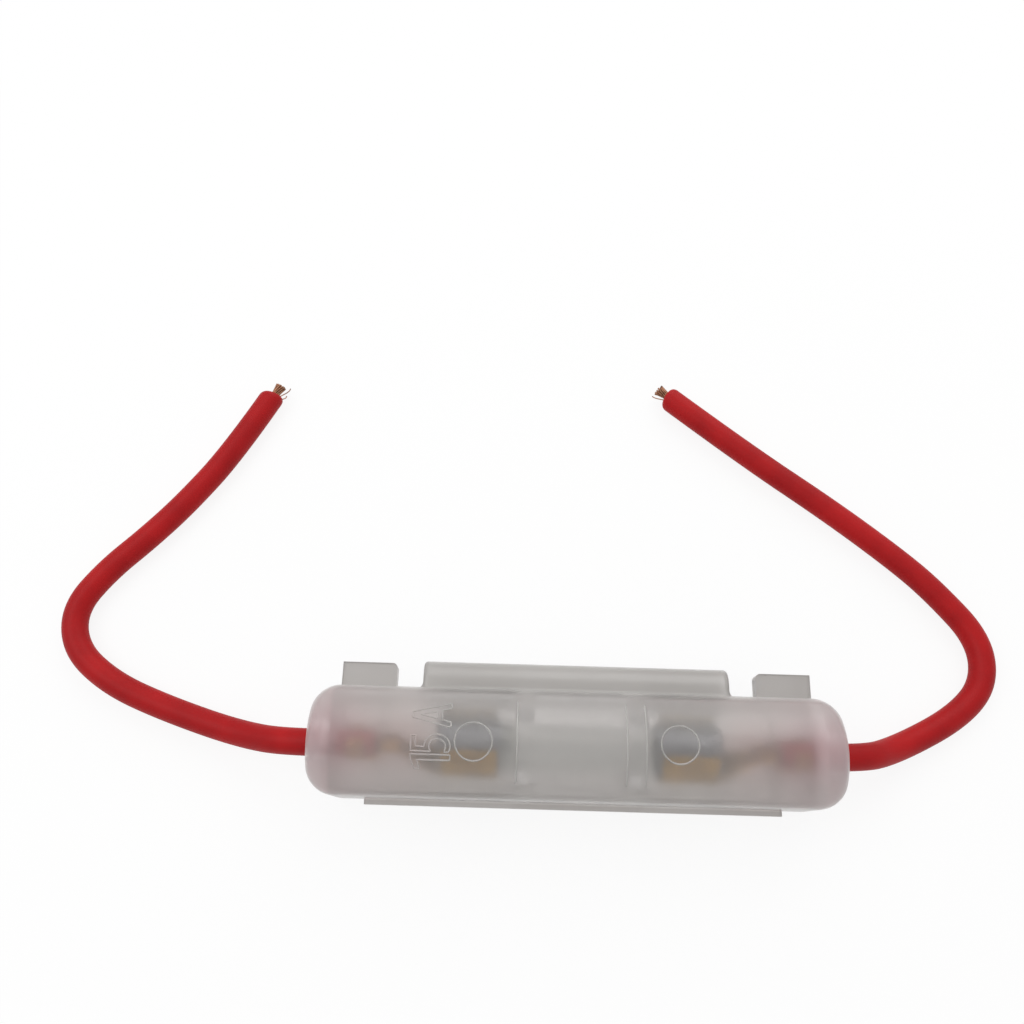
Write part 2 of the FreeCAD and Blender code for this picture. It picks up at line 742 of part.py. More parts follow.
sub_parts = [
    build_base(),
    build_lid(),
    build_hinge(),
    build_terminal("terminal_left", 180.0),
    build_terminal("terminal_right", 0.0),
    build_glass(),
    build_cap("fuse_cap_left", 180.0),
    build_cap("fuse_cap_right", 0.0),
    build_element(),
]
sub_parts += build_lead("left", LEFT_ROUTE, -1.0)
sub_parts += build_lead("right", RIGHT_ROUTE, 1.0)
doc.recompute()

for item in doc.Objects:
    if "Invalid" in item.State or "Error" in item.State:
        raise RuntimeError("%s failed: %s" % (item.Label, item.State))

os.makedirs("parts", exist_ok=True)
for piece in sub_parts:
    shape = piece.Shape
    if shape.isNull() or not shape.isValid() or len(shape.Solids) != 1:
        raise RuntimeError("%s is not one valid solid" % piece.Label)
    shape.exportStep(os.path.join("parts", piece.Label + ".step"))
    box = shape.BoundBox
    print("%-18s %8.1f mm3  x %6.2f %6.2f  y %6.2f %6.2f  z %6.2f %6.2f" % (
        piece.Label, shape.Volume, box.XMin, box.XMax, box.YMin, box.YMax, box.ZMin, box.ZMax))
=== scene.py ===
"""Looks of the inline fuse holder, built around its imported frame.

A translucent clamshell, closed over a glass fuse in two brass terminals, lies on a white table
with a red lead at each end. The frame gives the housing, the terminals and the fuse, which get
their finishes here. The leads, the copper strands, the living hinge and the fine marks that are
moulded into the lid are modelled here.

Lengths are written in millimetres and turned to metres by mm(). +X runs along the fuse, +Y
points to the hinge side and +Z up, as in the frame.
"""

import json
import logging
import math
import random
from dataclasses import dataclass, field
from enum import Enum

import bpy
from mathutils import Matrix, Vector

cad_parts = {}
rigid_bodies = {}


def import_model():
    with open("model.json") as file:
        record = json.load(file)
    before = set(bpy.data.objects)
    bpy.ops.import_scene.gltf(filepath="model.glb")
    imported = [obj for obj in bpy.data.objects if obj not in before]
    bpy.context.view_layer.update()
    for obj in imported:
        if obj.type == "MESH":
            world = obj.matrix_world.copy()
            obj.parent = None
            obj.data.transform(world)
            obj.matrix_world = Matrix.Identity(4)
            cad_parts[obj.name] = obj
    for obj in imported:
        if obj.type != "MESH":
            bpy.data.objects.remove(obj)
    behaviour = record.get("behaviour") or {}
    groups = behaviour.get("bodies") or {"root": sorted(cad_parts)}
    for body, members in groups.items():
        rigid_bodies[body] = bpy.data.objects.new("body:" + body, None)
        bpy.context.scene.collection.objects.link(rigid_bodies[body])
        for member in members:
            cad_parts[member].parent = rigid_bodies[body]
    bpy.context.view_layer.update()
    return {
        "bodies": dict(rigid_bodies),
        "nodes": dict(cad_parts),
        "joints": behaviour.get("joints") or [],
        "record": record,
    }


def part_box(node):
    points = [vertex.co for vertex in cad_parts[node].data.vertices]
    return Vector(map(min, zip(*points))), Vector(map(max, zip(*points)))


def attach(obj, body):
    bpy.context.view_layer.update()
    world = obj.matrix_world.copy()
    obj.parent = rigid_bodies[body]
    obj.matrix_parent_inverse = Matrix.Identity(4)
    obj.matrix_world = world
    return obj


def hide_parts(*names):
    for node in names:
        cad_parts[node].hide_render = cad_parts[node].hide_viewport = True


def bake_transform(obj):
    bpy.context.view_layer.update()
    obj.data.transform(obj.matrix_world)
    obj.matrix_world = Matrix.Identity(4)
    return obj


LOG = logging.getLogger("fuse_holder")
MM = 0.001
WHITE = "FFFFFF"

Tree = bpy.types.NodeTree
Socket = bpy.types.NodeSocket
Piece = bpy.types.Object
Colour = tuple[float, float, float, float]
# A corner on the lid's face, or a pair of radii, in millimetres
Corner = tuple[float, float]
# A place or a reach along X, Y and Z, in millimetres
Spot = tuple[float, float, float]
# A ring's centre and the two directions square to its path
Frame = tuple[Vector, Vector, Vector]
# A point of the hinge's loop: its Y and Z, and the Y and Z of the way out, in metres
LoopPoint = tuple[float, float, float, float]


class Side(Enum):
    """End of the holder, with the sign of its X."""

    LEFT = -1
    RIGHT = 1

    @property
    def word(self) -> str:
        """The side's name as the frame's nodes have it."""
        return self.name.lower()


class Body(Enum):
    """Rigid bodies of the frame."""

    BASE = "base"
    LID = "lid"


def mm(x: float, y: float, z: float) -> Vector:
    """A point given in millimetres, in metres."""
    return Vector((x, y, z)) * MM


def linear(hex_colour: str) -> Colour:
    """Turns an sRGB hex colour to the linear values that shaders take.

    Args:
        hex_colour: six hex digits, red first.

    Returns:
        Linear red, green and blue, and an alpha of one.
    """
    parts = [int(hex_colour[i:i + 2], 16) / 255 for i in (0, 2, 4)]
    red, green, blue = (p / 12.92 if p <= 0.04045 else ((p + 0.055) / 1.055) ** 2.4 for p in parts)
    return red, green, blue, 1.0


def add_node(tree: Tree, kind: str, inputs: dict[str | int, object] | None = None,
             **settings: object) -> bpy.types.Node:
    """Adds one node with its settings and links.

    Args:
        tree: node tree that gets the node.
        kind: Blender's name of the node type.
        inputs: socket to its value, or to the output socket that is linked to it.
        **settings: attributes of the node.

    Returns:
        The new node.
    """
    node = tree.nodes.new(kind)
    for name, value in settings.items():
        setattr(node, name, value)
    for socket, value in (inputs or {}).items():
        if isinstance(value, Socket):
            tree.links.new(value, node.inputs[socket])
        else:
            node.inputs[socket].default_value = value
    return node


class Layer(Enum):
    """What is laid over each other: plain values or colours, by Blender's names."""

    VALUE = "FLOAT"
    COLOUR = "RGBA"


def overlay(tree: Tree, kind: Layer, lowest: object,
            layers: list[tuple[Socket, object]]) -> Socket:
    """Lays values or colours over each other, each by its own share.

    Args:
        tree: node tree that gets the nodes.
        kind: whether values or colours are laid.
        lowest: what lies at the bottom, as a value, a colour or a socket.
        layers: share and value of each layer, lowest first.

    Returns:
        The result's socket.
    """
    for share, value in layers:
        lowest = add_node(tree, "ShaderNodeMix", {
            "Factor": share, "A": lowest, "B": value,
        }, data_type=kind.value).outputs["Result"]
    return lowest


def looked_at(tree: Tree) -> Socket:
    """Tells what is looked at, also in a mirror or through a clear wall, from what only lights.

    Args:
        tree: node tree that gets the nodes.

    Returns:
        One for a ray that looks, nought for any other.
    """
    path = add_node(tree, "ShaderNodeLightPath")
    seen = path.outputs["Is Camera Ray"]
    for other in ("Is Glossy Ray", "Is Transmission Ray"):
        seen = add_node(tree, "ShaderNodeMath", {0: seen, 1: path.outputs[other]},
                        operation="MAXIMUM").outputs[0]
    return seen


@dataclass(frozen=True)
class Grain:
    """A pattern in a surface, by its real size: lines, smears, pits, ripples or clouds.

    Where it blends two tones, the blend runs while its value goes from start to full.
    """

    width_mm: float
    octaves: float = 3.0
    stretch: float = 1.0
    start: float = 0.35
    full: float = 0.75

    def value(self, tree: Tree) -> Socket:
        """Adds the pattern, fixed to the piece and stretched along X.

        Args:
            tree: node tree that gets the nodes.

        Returns:
            The pattern's value, from nought to one.
        """
        width = self.width_mm * MM
        scaled = add_node(tree, "ShaderNodeMapping", {
            "Vector": add_node(tree, "ShaderNodeTexCoord").outputs["Object"],
            "Scale": (1.0 / (width * self.stretch), 1.0 / width, 1.0 / width),
        })
        return add_node(tree, "ShaderNodeTexNoise", {
            "Vector": scaled.outputs["Vector"], "Scale": 1.0, "Detail": self.octaves,
        }).outputs["Fac"]

    def tones(self, tree: Tree, value: Socket, first: str, last: str) -> Socket:
        """Blends two colours by the pattern.

        Args:
            tree: node tree that gets the nodes.
            value: the pattern's value.
            first: sRGB hex colour where the value is low.
            last: sRGB hex colour where it is high.

        Returns:
            The colour's socket.
        """
        share = add_node(tree, "ShaderNodeMapRange", {
            "Value": value, "From Min": self.start, "From Max": self.full,
        }).outputs["Result"]
        return overlay(tree, Layer.COLOUR, linear(first), [(share, linear(last))])

    def relief(self, tree: Tree, depth_mm: float) -> Socket:
        """Raises a skin by the pattern.

        Args:
            tree: node tree that gets the nodes.
            depth_mm: depth from the pattern's valleys to its tops, in millimetres.

        Returns:
            The normal's socket.
        """
        return add_node(tree, "ShaderNodeBump", {
            "Height": self.value(tree), "Distance": depth_mm * MM, "Strength": 1.0,
        }).outputs["Normal"]


@dataclass(frozen=True)
class Finish:
    """A surface finish, which turns into one Blender material."""

    name: str

    def material(self) -> bpy.types.Material:
        """Makes the finish's material on first use.

        Returns:
            The material, the same one each time.
        """
        found = bpy.data.materials.get(self.name)
        if found is not None:
            return found
        made = bpy.data.materials.new(self.name)
        made.use_nodes = True
        tree = made.node_tree
        tree.nodes.clear()
        surface = self.shade(tree)
        add_node(tree, "ShaderNodeOutputMaterial", {"Surface": surface})
        return made

    def shade(self, tree: Tree) -> Socket:
        """Builds the shader and returns its output socket."""
        raise NotImplementedError

    @staticmethod
    def passes_lamps(tree: Tree, surface: Socket, tint: str) -> Socket:
        """Lets light from the lamps through a clear shell, tinted, so that what it holds is lit.

        Args:
            tree: node tree that gets the nodes.
            surface: output socket of the shell's shader.
            tint: sRGB hex colour that the shell gives the light.

        Returns:
            The shader's output socket.
        """
        path = add_node(tree, "ShaderNodeLightPath")
        clear = add_node(tree, "ShaderNodeBsdfTransparent", {"Color": linear(tint)})
        return add_node(tree, "ShaderNodeMixShader", {
            0: path.outputs["Is Shadow Ray"], 1: surface, 2: clear.outputs["BSDF"],
        }).outputs["Shader"]


@dataclass(frozen=True)
class Zone:
    """A stretch of the shell, by the distance from its middle along one axis."""

    middle_mm: float
    start_mm: float
    full_mm: float
    most: float = 1.0

    def share(self, tree: Tree, along: Socket) -> Socket:
        """Adds how far a point lies in the zone.

        Args:
            tree: node tree that gets the nodes.
            along: the point's place along the axis, in metres.

        Returns:
            Nought up to the start distance and the most from the full distance on.
        """
        away = add_node(tree, "ShaderNodeMath", {0: along, 1: self.middle_mm * MM},
                        operation="SUBTRACT").outputs[0]
        distance = add_node(tree, "ShaderNodeMath", {0: away}, operation="ABSOLUTE").outputs[0]
        return add_node(tree, "ShaderNodeMapRange", {
            "Value": distance, "From Min": self.start_mm * MM, "From Max": self.full_mm * MM,
            "To Max": self.most,
        }, interpolation_type="SMOOTHSTEP").outputs["Result"]


@dataclass(frozen=True)
class NaturalPolypropylene(Finish):
    """Polypropylene without pigment, moulded in a fine-eroded tool.

    It looks milky: the fuse's caps show through the crown of the shell as soft shadows and its
    glass hardly does, edges that are seen along their thickness turn greyer and less clear, and
    the skin has a satin sheen. The pinkish tint round the crimps and the stronger pink in the
    solid ends are painted light, standing in for the red of the leads shining through, and the
    outboard plates are painted a darker grey as painted shade. The tool's grain is finer than a
    picture of the whole part can show, so it is drawn coarser.
    """

    milk: str = "DEDBD9"
    haze: str = "D6D3D1"
    # painted light: pink standing in for the red leads' light glowing in the solid ends
    painted_red_glow: str = "D3BDBF"
    # painted light: a pinkish tint standing in for the red leads' light round the crimps
    painted_red_tint: str = "D2C7C5"
    rim: str = "D2CFCD"
    # painted shade: a darker grey laid on the outboard plates
    plate: str = "B4B0AD"
    ior: float = 1.49
    roughness: float = 0.3
    clarity: float = 0.85
    crown_share: float = 1.09
    window_share: float = 0.92
    crimp_share: float = 0.87
    crimp_crown_share: float = 1.0
    end_share: float = 0.7
    rim_clarity: float = 0.3
    rim_start: float = 0.6
    rim_blend: float = 0.5
    window_zone: Zone = Zone(middle_mm=0.4, start_mm=6.4, full_mm=8.2)
    crimp_zone: Zone = Zone(middle_mm=0.0, start_mm=13.5, full_mm=19.0)
    # where the painted pink glow comes in, towards the solid ends
    painted_glow_zone: Zone = Zone(middle_mm=-0.7, start_mm=20.5, full_mm=27.4)
    end_zone: Zone = Zone(middle_mm=-0.7, start_mm=25.4, full_mm=27.4)
    flank_zone: Zone = Zone(middle_mm=-1.4, start_mm=0.0, full_mm=5.0, most=0.7)
    # where the painted plate shade starts, beyond the dome across the holder
    painted_shade_zone: Zone = Zone(middle_mm=-1.4, start_mm=6.0, full_mm=6.3)
    cloud: Grain = Grain(7.0, octaves=2.0, start=0.3, full=0.7)
    spark: Grain = Grain(0.35)
    spark_depth_mm: float = 0.006

    def edge(self, tree: Tree) -> Socket:
        """Adds how much a wall is seen along its thickness.

        Args:
            tree: node tree that gets the nodes.

        Returns:
            Nought on a wall that is faced, one at its outline.
        """
        facing = add_node(tree, "ShaderNodeLayerWeight", {"Blend": self.rim_blend})
        return add_node(tree, "ShaderNodeMapRange", {
            "Value": facing.outputs["Facing"], "From Min": self.rim_start,
        }).outputs["Result"]

    def clearness(self, tree: Tree, along: Socket, crimp: Socket, flank: Socket,
                  edge: Socket) -> Socket:
        """Adds how clear the shell is, most over the caps and least at its ends and edges.

        Args:
            tree: node tree that gets the nodes.
            along: place along the fuse, in metres.
            crimp: share of the zone round the crimps.
            flank: share of the dome's flanks.
            edge: share of an edge seen along its thickness.

        Returns:
            The clarity's socket.
        """
        flank_clarity = overlay(tree, Layer.VALUE, self.clarity, [
            (crimp, self.clarity * self.crimp_share),
        ])
        shell = overlay(tree, Layer.VALUE, self.clarity * self.crown_share, [
            (crimp, self.clarity * self.crimp_crown_share),
            (flank, flank_clarity),
        ])
        return overlay(tree, Layer.VALUE, self.clarity * self.window_share, [
            (self.window_zone.share(tree, along), shell),
            (self.end_zone.share(tree, along), self.clarity * self.end_share),
            (edge, self.rim_clarity),
        ])

    def shade(self, tree: Tree) -> Socket:
        """Builds a rough clear shader, cloudier at the solid ends and at edges, with painted red
        light and painted shade on the plates.

        Args:
            tree: node tree that gets the nodes.

        Returns:
            The shader's output socket.
        """
        place = add_node(tree, "ShaderNodeSeparateXYZ", {
            "Vector": add_node(tree, "ShaderNodeTexCoord").outputs["Object"],
        })
        along = place.outputs["X"]
        across = place.outputs["Y"]
        crimp = self.crimp_zone.share(tree, along)
        flank = self.flank_zone.share(tree, across)
        edge = self.edge(tree)
        plain = self.cloud.tones(tree, self.cloud.value(tree), self.haze, self.milk)
        colour = overlay(tree, Layer.COLOUR, plain, [
            # painted red light from the leads, round the crimps
            (crimp, linear(self.painted_red_tint)),
            # painted pink glow of the red leads in the solid ends
            (self.painted_glow_zone.share(tree, along), linear(self.painted_red_glow)),
            # the flanks keep more of the plain milk, so less of the painted red shows there
            (flank, plain),
            # painted shade on the outboard plates
            (self.painted_shade_zone.share(tree, across), linear(self.plate)),
            (edge, linear(self.rim)),
        ])
        surface = add_node(tree, "ShaderNodeBsdfPrincipled", {
            "Base Color": colour,
            "Roughness": self.roughness,
            "IOR": self.ior,
            "Transmission Weight": self.clearness(tree, along, crimp, flank, edge),
            "Normal": self.spark.relief(tree, self.spark_depth_mm),
        })
        return self.passes_lamps(tree, surface.outputs["BSDF"], self.milk)


@dataclass(frozen=True)
class BareMetal(Finish):
    """Bare metal whose tone and roughness follow one pattern of wear."""

    bright: str
    dull: str
    roughness: float
    smooth_share: float
    rough_share: float
    wear: Grain
    lines: Grain | None = None
    line_depth_mm: float = 0.0

    def shade(self, tree: Tree) -> Socket:
        """Builds the metal with its wear and, where it has them, its lines.

        Args:
            tree: node tree that gets the nodes.

        Returns:
            The shader's output socket.
        """
        wear = self.wear.value(tree)
        rough = add_node(tree, "ShaderNodeMapRange", {
            "Value": wear, "To Min": self.roughness * self.smooth_share,
            "To Max": self.roughness * self.rough_share,
        })
        metal = add_node(tree, "ShaderNodeBsdfPrincipled", {
            "Base Color": self.wear.tones(tree, wear, self.bright, self.dull),
            "Metallic": 1.0,
            "Roughness": rough.outputs["Result"],
        })
        if self.lines is not None:
            tree.links.new(self.lines.relief(tree, self.line_depth_mm), metal.inputs["Normal"])
        return metal.outputs["BSDF"]


@dataclass(frozen=True)
class StampedBrass(BareMetal):
    """Cartridge brass strip, stamped and formed.

    It is bright where the tool has wiped it, with fine rolling lines along the strip, drawn as
    coarse as they need to show, and a slightly duller brown in the hollows.
    """

    bright: str = "CFA656"
    dull: str = "8A6830"
    roughness: float = 0.3
    smooth_share: float = 0.8
    rough_share: float = 1.3
    wear: Grain = Grain(2.5, octaves=4.0)
    lines: Grain | None = Grain(0.12, octaves=1.0, stretch=25.0)
    line_depth_mm: float = 0.004


@dataclass(frozen=True)
class NickelPlate(BareMetal):
    """Nickel plate on a drawn brass cap: a cool grey mirror, smeared and softened by handling."""

    bright: str = "92959A"
    dull: str = "696C72"
    roughness: float = 0.24
    smooth_share: float = 0.7
    rough_share: float = 1.5
    wear: Grain = Grain(1.8, stretch=2.0, start=0.3, full=0.8)


@dataclass(frozen=True)
class DrawnCopper(BareMetal):
    """Bare drawn copper strands: brown-orange metal, dulled by air between the strands."""

    bright: str = "A2735A"
    dull: str = "5F4536"
    roughness: float = 0.38
    smooth_share: float = 1.0
    rough_share: float = 1.0
    wear: Grain = Grain(0.5)


@dataclass(frozen=True)
class ZincStrip(Finish):
    """Blanked zinc strip: pale, matt metal with a fine grain."""

    colour: str = "D0D1D3"
    roughness: float = 0.42
    grain: Grain = Grain(0.2, octaves=2.0)
    grain_depth_mm: float = 0.01

    def shade(self, tree: Tree) -> Socket:
        """Builds the grained metal.

        Args:
            tree: node tree that gets the nodes.

        Returns:
            The shader's output socket.
        """
        return add_node(tree, "ShaderNodeBsdfPrincipled", {
            "Base Color": linear(self.colour), "Metallic": 1.0, "Roughness": self.roughness,
            "Normal": self.grain.relief(tree, self.grain_depth_mm),
        }).outputs["BSDF"]


@dataclass(frozen=True)
class FuseGlass(Finish):
    """Drawn soda-lime tube: clear, with a faint green in its wall and smooth ripples."""

    tint: str = "E9ECEA"
    ior: float = 1.52
    roughness: float = 0.03
    ripple: Grain = Grain(1.2, octaves=1.0, stretch=6.0)
    ripple_depth_mm: float = 0.003

    def shade(self, tree: Tree) -> Socket:
        """Builds the clear tube.

        Args:
            tree: node tree that gets the nodes.

        Returns:
            The shader's output socket.
        """
        surface = add_node(tree, "ShaderNodeBsdfPrincipled", {
            "Base Color": linear(self.tint), "Roughness": self.roughness, "IOR": self.ior,
            "Transmission Weight": 1.0,
            "Normal": self.ripple.relief(tree, self.ripple_depth_mm),
        })
        return self.passes_lamps(tree, surface.outputs["BSDF"], self.tint)


@dataclass(frozen=True)
class ExtrudedPvc(Finish):
    """Soft red PVC, extruded over the strands.

    The skin is even and slightly waxy: a broad dim sheen, fine shallow pits, drawn coarser than
    they are, and small changes of depth in the red. Light goes a little way in and comes out
    redder.
    """

    red: str = "AB1518"
    deep: str = "991014"
    ior: float = 1.53
    specular: float = 0.15
    roughness: float = 0.5
    depth: Grain = Grain(5.0, full=0.7)
    pits: Grain = Grain(0.3, octaves=2.0)
    pit_depth_mm: float = 0.004
    glow_weight: float = 0.08
    glow_reach_mm: Spot = (0.8, 0.2, 0.2)

    def shade(self, tree: Tree) -> Socket:
        """Builds the waxy red skin.

        Args:
            tree: node tree that gets the nodes.

        Returns:
            The shader's output socket.
        """
        return add_node(tree, "ShaderNodeBsdfPrincipled", {
            "Base Color": self.depth.tones(tree, self.depth.value(tree), self.red, self.deep),
            "Roughness": self.roughness,
            "IOR": self.ior,
            "Specular IOR Level": self.specular,
            "Subsurface Weight": self.glow_weight,
            "Subsurface Radius": mm(*self.glow_reach_mm),
            "Subsurface Scale": 1.0,
            "Normal": self.pits.relief(tree, self.pit_depth_mm),
        }).outputs["BSDF"]


@dataclass(frozen=True)
class WhiteTable(Finish):
    """Matt white table, which the camera sees almost as pure white with a faint shadow."""

    white: str = "F7F7F7"
    shadow_share: float = 0.13
    fade_from_mm: float = 50.0
    fade_to_mm: float = 130.0

    def shade(self, tree: Tree) -> Socket:
        """Builds the table: matt for light, and mostly plain white where it is looked at.

        Args:
            tree: node tree that gets the nodes.

        Returns:
            The shader's output socket.
        """
        matt = add_node(tree, "ShaderNodeBsdfDiffuse", {"Color": linear(self.white)})
        plain = add_node(tree, "ShaderNodeEmission", {"Color": linear(WHITE), "Strength": 1.0})
        reach = add_node(tree, "ShaderNodeVectorMath", {
            0: add_node(tree, "ShaderNodeTexCoord").outputs["Object"],
        }, operation="LENGTH").outputs["Value"]
        white = add_node(tree, "ShaderNodeMapRange", {
            "Value": reach, "From Min": self.fade_from_mm * MM, "From Max": self.fade_to_mm * MM,
            "To Min": 1.0 - self.shadow_share, "To Max": 1.0,
        }, interpolation_type="SMOOTHSTEP").outputs["Result"]
        share = add_node(tree, "ShaderNodeMath", {0: looked_at(tree), 1: white},
                         operation="MULTIPLY").outputs[0]
        return add_node(tree, "ShaderNodeMixShader", {
            0: share, 1: matt.outputs["BSDF"], 2: plain.outputs["Emission"],
        }).outputs["Shader"]


POLYPROPYLENE = NaturalPolypropylene("natural_polypropylene")
RELIEF = NaturalPolypropylene("polypropylene_relief", milk="D4D2D0", haze="CFCDCB", clarity=0.58)
# the web's painted plate shade is the same grey as its milk, so nothing darker is painted on it
WEB = NaturalPolypropylene("polypropylene_web", milk="C6C3C0", haze="C2BFBC", clarity=0.5,
                           plate="C6C3C0")
BRASS = StampedBrass("stamped_brass")
NICKEL = NickelPlate("nickel_plate")
GLASS = FuseGlass("fuse_glass_clear")
ZINC = ZincStrip("zinc_strip")
PVC = ExtrudedPvc("extruded_red_pvc")
COPPER = DrawnCopper("drawn_copper")
TABLE = WhiteTable("white_table")


def make_mesh(name: str, points: list[Vector], faces: list[tuple[int, ...]],
              finish: Finish, smooth: bool = True) -> Piece:
    """Makes a mesh object in the scene.

    Args:
        name: name of the piece.
        points: vertices in metres.
        faces: vertex numbers of each face.
        finish: finish of the whole piece.
        smooth: True for smooth shading.

    Returns:
        The new object, at the origin.
    """
    mesh = bpy.data.meshes.new(name)
    mesh.from_pydata([tuple(p) for p in points], [], faces)
    mesh.update()
    mesh.polygons.foreach_set("use_smooth", [smooth] * len(mesh.polygons))
    mesh.materials.append(finish.material())
    made = bpy.data.objects.new(name, mesh)
    bpy.context.scene.collection.objects.link(made)
    return made


def settle(piece: Piece, body: Body) -> Piece:
    """Lets a piece ride on a body.

    Args:
        piece: the piece.
        body: rigid body that carries it.

    Returns:
        The same piece.
    """
    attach(piece, body.value)
    return piece


def frames_along(path: list[Vector], closed: bool = False) -> list[Frame]:
    """Carries a cross frame along a path with no twist.

    Args:
        path: points of the path, in metres.
        closed: True if the path ends where it starts.

    Returns:
        For each point, its place and the two directions square to the path.
    """
    count = len(path)
    frames = []
    over = Vector((0, 0, 1))
    for number, point in enumerate(path):
        before = path[(number - 1) % count] if closed else path[max(number - 1, 0)]
        after = path[(number + 1) % count] if closed else path[min(number + 1, count - 1)]
        ahead = (after - before).normalized()
        over = (over - ahead * over.dot(ahead)).normalized()
        frames.append((point, over.cross(ahead), over))
    return frames


def lengths_along(path: list[Vector]) -> list[float]:
    """Measures a path.

    Args:
        path: points of the path, in metres.

    Returns:
        The length up to each of its points, in metres.
    """
    lengths = [0.0]
    for before, after in zip(path, path[1:]):
        lengths.append(lengths[-1] + (after - before).length)
    return lengths


@dataclass
class Tubes:
    """Collects tubes along paths into one mesh."""

    points: list[Vector] = field(default_factory=list)
    faces: list[tuple[int, ...]] = field(default_factory=list)

    def add(self, frames: list[Frame], radii: list[float], sides: int,
            closed: bool = False) -> None:
        """Adds one tube.

        Args:
            frames: place and cross directions of each ring, in metres.
            radii: radius of each ring, in metres.
            sides: number of points round the tube.
            closed: True if the last ring joins the first, False if both ends are capped.
        """
        start = len(self.points)
        count = len(frames)
        for (centre, across, over), radius in zip(frames, radii):
            for side in range(sides):
                turn = math.tau * side / sides
                offset = across * math.cos(turn) + over * math.sin(turn)
                self.points.append(centre + offset * radius)
        for ring in range(count if closed else count - 1):
            here = start + ring * sides
            there = start + (ring + 1) % count * sides
            for side in range(sides):
                after = (side + 1) % sides
                self.faces.append((here + side, here + after, there + after, there + side))
        if not closed:
            self.faces.append(tuple(start + side for side in reversed(range(sides))))
            self.faces.append(tuple(start + (count - 1) * sides + side for side in range(sides)))


@dataclass
class Studio:
    """White table, soft light and the camera over the holder."""

    camera_mm: Spot = (-7.895, -12.071, 118.821)
    pitch_degrees: float = 70.943
    roll_degrees: float = 1.718
    lens_mm: float = 34.0
    sensor_mm: float = 36.0
    nearest_mm: float = 5.0
    table_mm: float = 1600.0
    table_gap_mm: float = 0.02
    sky: float = 0.62
    key_mm: Spot = (-270.0, 60.0, 410.0)
    key_size_mm: float = 300.0
    key_watts: float = 0.66
    fill_mm: Spot = (80.0, 330.0, 280.0)
    fill_size_mm: float = 360.0
    fill_watts: float = 0.68

    def build(self) -> None:
        """Sets the table, the sky, both lamps and the camera."""
        bpy.context.scene.view_settings.view_transform = "Standard"
        self.table()
        self.world()
        self.lamp("key_light", self.key_mm, self.key_size_mm, self.key_watts)
        self.lamp("fill_light", self.fill_mm, self.fill_size_mm, self.fill_watts)
        self.camera()

    def table(self) -> None:
        """Lays the white table just under the feet."""
        half = self.table_mm / 2
        corners = [mm(x * half, y * half, -self.table_gap_mm)
                   for x, y in ((-1, -1), (1, -1), (1, 1), (-1, 1))]
        make_mesh("table", corners, [(0, 1, 2, 3)], TABLE, smooth=False)

    def world(self) -> None:
        """Makes a sky that lights evenly and looks white."""
        world = bpy.data.worlds.new("pale_sky")
        world.use_nodes = True
        tree = world.node_tree
        tree.nodes.clear()
        strength = add_node(tree, "ShaderNodeMapRange", {
            "Value": looked_at(tree), "To Min": self.sky, "To Max": 1.0,
        }).outputs["Result"]
        sky = add_node(tree, "ShaderNodeBackground", {
            "Color": linear(WHITE), "Strength": strength,
        })
        add_node(tree, "ShaderNodeOutputWorld", {"Surface": sky.outputs["Background"]})
        bpy.context.scene.world = world

    @staticmethod
    def lamp(name: str, place_mm: Spot, size_mm: float, watts: float) -> None:
        """Hangs a square soft lamp that points at the holder.

        Args:
            name: name of the lamp.
            place_mm: where it hangs, in millimetres.
            size_mm: length of its sides, in millimetres.
            watts: its power.
        """
        data = bpy.data.lights.new(name, "AREA")
        data.size = size_mm * MM
        data.energy = watts
        made = bpy.data.objects.new(name, data)
        made.location = mm(*place_mm)
        made.rotation_mode = "QUATERNION"
        made.rotation_quaternion = (-made.location).to_track_quat("-Z", "Y")
        bpy.context.scene.collection.objects.link(made)

    def camera(self) -> None:
        """Places the camera steeply over the holder, turned a little about its view."""
        pitch = math.radians(self.pitch_degrees)
        ahead = Vector((0, math.cos(pitch), -math.sin(pitch)))
        right = Vector((1, 0, 0))
        up = right.cross(ahead)
        roll = math.radians(self.roll_degrees)
        rolled_right = right * math.cos(roll) + up * math.sin(roll)
        rolled_up = up * math.cos(roll) - right * math.sin(roll)
        turn = Matrix((rolled_right, rolled_up, -ahead)).transposed()
        data = bpy.data.cameras.new("camera")
        data.lens = self.lens_mm
        data.sensor_width = self.sensor_mm
        data.clip_start = self.nearest_mm * MM
        made = bpy.data.objects.new("camera", data)
        made.matrix_world = Matrix.Translation(mm(*self.camera_mm)) @ turn.to_4x4()
        bpy.context.scene.collection.objects.link(made)
        bpy.context.scene.camera = made


@dataclass(frozen=True)
class Hair:
    """A strand that has sprung out at the cut, by the lead's own directions."""

    root_mm: float
    aside_mm: float
    reach_mm: float
    curl_degrees: float = 115.0
    radius_mm: float = 0.07
    buried_mm: float = 0.5
    lift_mm: float = 0.25
    steps: int = 12


